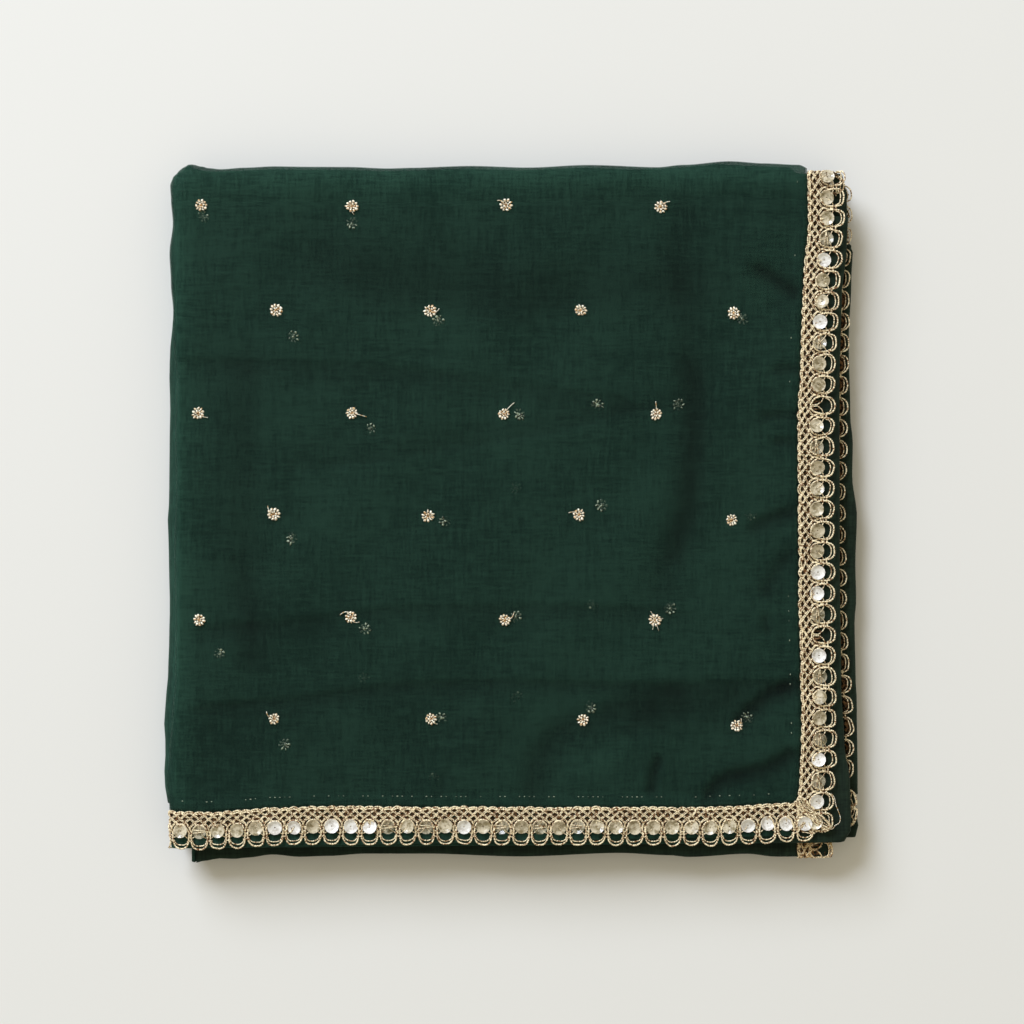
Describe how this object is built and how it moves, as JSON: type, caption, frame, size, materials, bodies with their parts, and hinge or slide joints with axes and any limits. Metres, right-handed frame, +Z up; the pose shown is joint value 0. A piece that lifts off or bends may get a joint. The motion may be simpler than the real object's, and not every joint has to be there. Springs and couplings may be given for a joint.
{
  "type": "folded dupatta stole",
  "caption": "Sheer dark green dupatta stole, folded into a flat square, with scalloped gold crochet lace and small flower motifs.",
  "frame": {"origin": "under the middle of the folded pack, on the surface that it lies on", "axes": "+Z up through the layers, +X towards the side with the lace ends, +Y towards the long fold"},
  "size_m": [0.3267, 0.324, 0.02],
  "materials": {
    "georgette": "sheer, matt crepe",
    "crochet_lace": "twisted cotton and zari thread, soft lustre",
    "buti_thread": "knotted thread, soft lustre",
    "sequins": "pearly film"
  },
  "bodies": {
    "root": {"cloth_top_panel": "georgette", "cloth_hidden_layers": "georgette", "cloth_second_fold": "georgette", "cloth_third_fold": "georgette", "cloth_front_fold": "georgette", "lace_end_top": "crochet_lace", "lace_side_top": "crochet_lace", "lace_far_end": "crochet_lace", "lace_turned_end": "crochet_lace"}
  },
  "joints": []
}
